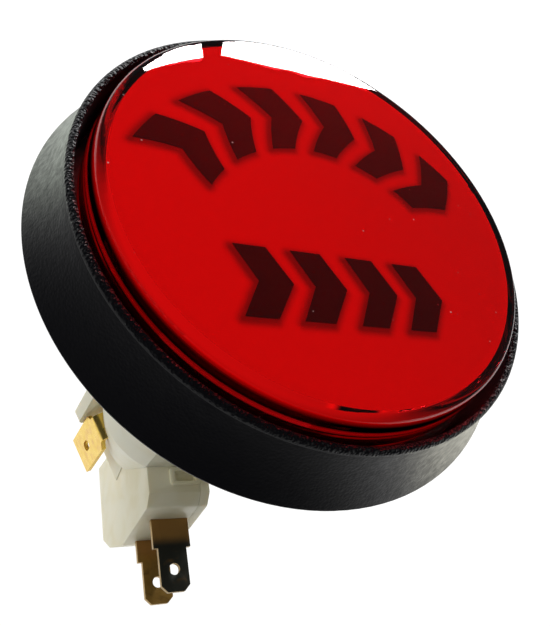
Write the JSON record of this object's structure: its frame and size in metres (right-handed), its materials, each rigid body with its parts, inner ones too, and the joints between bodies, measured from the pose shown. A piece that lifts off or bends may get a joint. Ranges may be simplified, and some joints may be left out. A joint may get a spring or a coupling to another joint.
{
  "type": "illuminated push button",
  "caption": "Large round panel push button with a red lens, black flared bezel, threaded neck and nut, lampholder, wedge lamp and an upright snap switch with two tabs.",
  "frame": {"origin": "centre of the bezel's underside, on the button's axis, where it seats on the panel", "axes": "+Z out of the button's face along its travel, +X the way the legend reads, the switch on the -Y side"},
  "size_m": [0.0636, 0.0636, 0.0834],
  "materials": {
    "bezel_black": "satin moulded, coarse grain on the rim",
    "nut_black": "satin moulded",
    "white_nylon": "natural nylon, slightly translucent",
    "clear_glass": "clear",
    "lamp_wire": "bright wire",
    "tungsten": "dull",
    "brass": "bright stamped",
    "steel": "bright",
    "bronze": "dark tarnished stamping",
    "silver_contact": "silver",
    "plunger_black": "satin moulded",
    "diffuser_white": "translucent",
    "film_red": "printed film",
    "lens_red": "clear tinted, polished",
    "button_red": "moulded",
    "spring_copper": "beryllium copper strip"
  },
  "bodies": {
    "housing": {"bezel": "bezel_black", "panel_nut": "nut_black", "lampholder": "white_nylon", "lamp_glass": "clear_glass", "lamp_base": "clear_glass", "lamp_leads": "lamp_wire", "lamp_filament": "tungsten", "lamp_terminal_left": "brass", "lamp_terminal_right": "brass", "switch_case": "white_nylon", "switch_cover": "white_nylon", "cover_pins": "steel", "terminal_open": "bronze", "terminal_common": "bronze", "fixed_contact": "silver_contact", "return_spring": "steel"},
    "plunger": {"plunger": "plunger_black", "diffuser_plate": "diffuser_white", "legend_film": "film_red", "lens": "lens_red"},
    "switch_button": {"switch_button": "button_red"},
    "contact_arm": {"contact_arm": "spring_copper", "moving_contact": "silver_contact"}
  },
  "joints": [
    {"name": "plunger_press", "type": "slide", "parent": "housing", "child": "plunger", "axis": [0, 0, -1], "range_m": [0, 0.0035], "stiffness_N_per_m": 600, "springref_m": -0.003, "deforming": ["return_spring"]},
    {"name": "switch_button_press", "type": "slide", "parent": "housing", "child": "switch_button", "axis": [0, -1, 0], "range_m": [0, 0.001], "stiffness_N_per_m": 400},
    {"name": "contact_arm_swing", "type": "hinge", "parent": "housing", "child": "contact_arm", "pos_m": [0, -0.00635, -0.0645], "axis": [1, 0, 0], "range_deg": [0, 4.6]}
  ],
  "couplings": [
    {"joint": "switch_button_press", "follows": "plunger_press", "ratio": 0.28571},
    {"joint": "contact_arm_swing", "follows": "plunger_press", "rad_per_m": 22.857}
  ]
}
